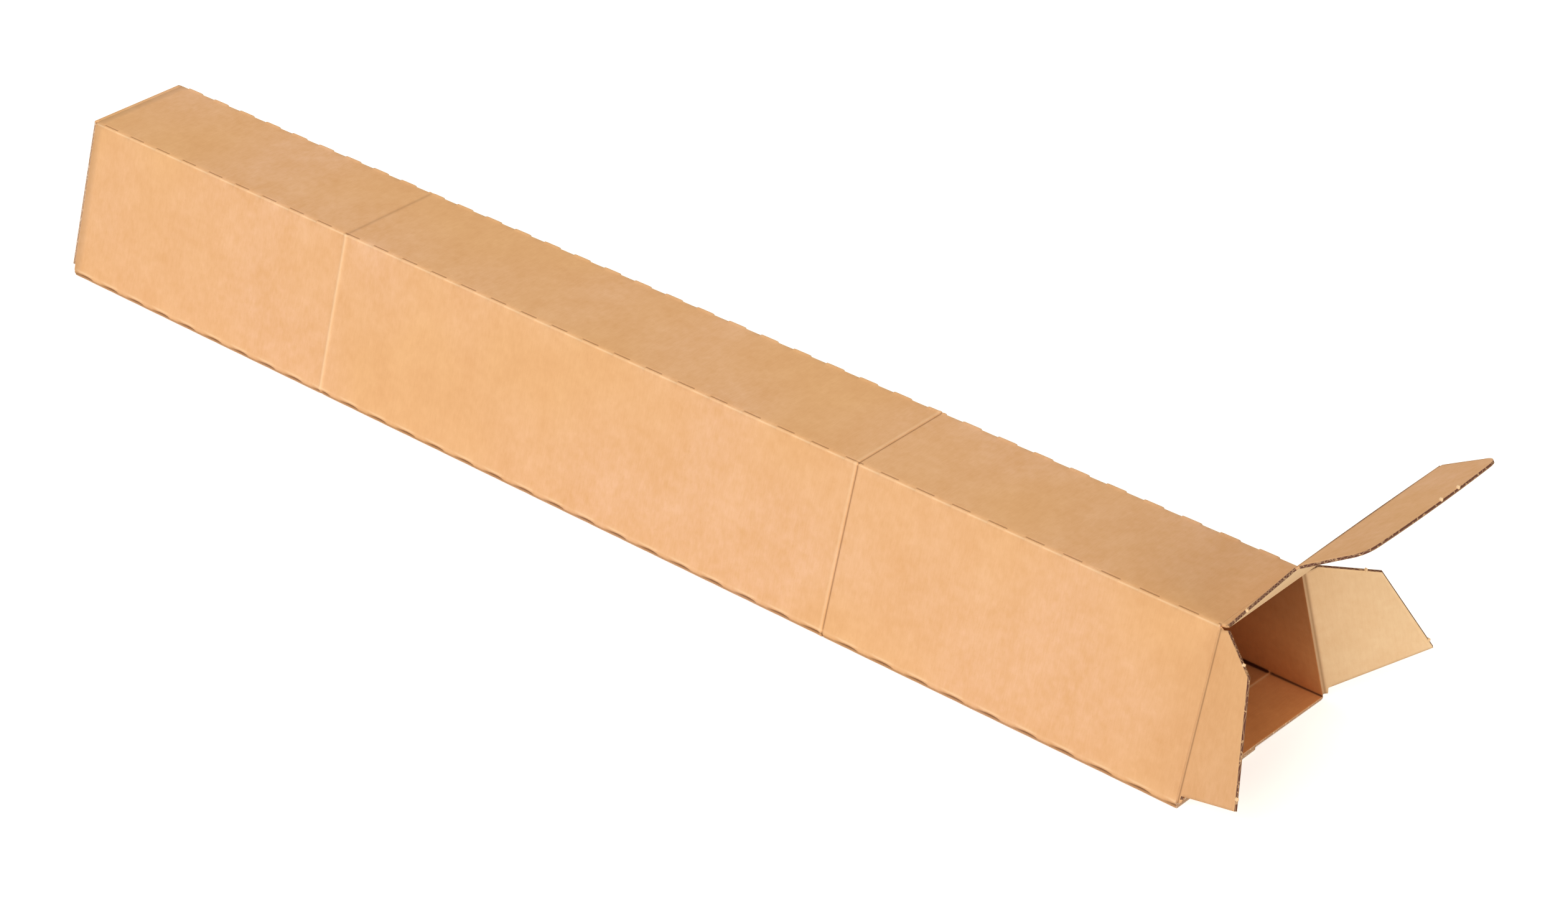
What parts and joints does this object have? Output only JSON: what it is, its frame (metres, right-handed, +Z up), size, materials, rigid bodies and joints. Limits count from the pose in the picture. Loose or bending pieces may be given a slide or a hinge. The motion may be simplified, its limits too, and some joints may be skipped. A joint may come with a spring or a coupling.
{
  "type": "trapezoid shipping box",
  "caption": "Long trapezoid carton of folded corrugated board for rolled posters, with hinged dust flaps and a tuck-in lid at each end.",
  "frame": {"origin": "middle of the sleeve's underside, on the glued lap that the box stands on", "axes": "+X along the sleeve towards the open mouth, +Y towards the rear wall, +Z up"},
  "size_m": [0.7894, 0.1497, 0.1554],
  "materials": {
    "kraft_board": "brown kraft liner with visible fibre and soft mottling"
  },
  "bodies": {
    "sleeve": {"sleeve": "kraft_board", "far_front_dust_flap": "kraft_board", "far_rear_dust_flap": "kraft_board"},
    "lid": {"lid": "kraft_board"},
    "lid_tuck_flap": {"lid_tuck_flap": "kraft_board"},
    "front_dust_flap": {"front_dust_flap": "kraft_board"},
    "rear_dust_flap": {"rear_dust_flap": "kraft_board"},
    "far_lid": {"far_lid": "kraft_board"},
    "far_lid_tuck_flap": {"far_lid_tuck_flap": "kraft_board"}
  },
  "joints": [
    {"name": "lid_fold", "type": "hinge", "parent": "sleeve", "child": "lid", "pos_m": [0.3572, 0, 0.07885], "axis": [0, 1, 0], "range_deg": [-45, 142.2]},
    {"name": "lid_tuck_fold", "type": "hinge", "parent": "lid", "child": "lid_tuck_flap", "pos_m": [0.40295, 0, 0.13784], "axis": [0, 1, 0], "range_deg": [-21, 73.8]},
    {"name": "front_dust_fold", "type": "hinge", "parent": "sleeve", "child": "front_dust_flap", "pos_m": [0.3555, -0.04099, 0.04], "axis": [0, 0.3054, 0.9522], "range_deg": [-25, 122.4]},
    {"name": "rear_dust_fold", "type": "hinge", "parent": "sleeve", "child": "rear_dust_flap", "pos_m": [0.3555, 0.04099, 0.04], "axis": [0, 0.3054, -0.9522], "range_deg": [-20, 131.5]},
    {"name": "far_lid_fold", "type": "hinge", "parent": "sleeve", "child": "far_lid", "pos_m": [-0.3572, 0, 0.07885], "axis": [0, 1, 0], "range_deg": [0, 95]},
    {"name": "far_lid_tuck_fold", "type": "hinge", "parent": "far_lid", "child": "far_lid_tuck_flap", "pos_m": [-0.3572, 0, 0.0042], "axis": [0, 1, 0], "range_deg": [-34.2, 0]}
  ],
  "couplings": [
    {"joint": "far_lid_tuck_fold", "follows": "far_lid_fold", "ratio": -0.36}
  ]
}
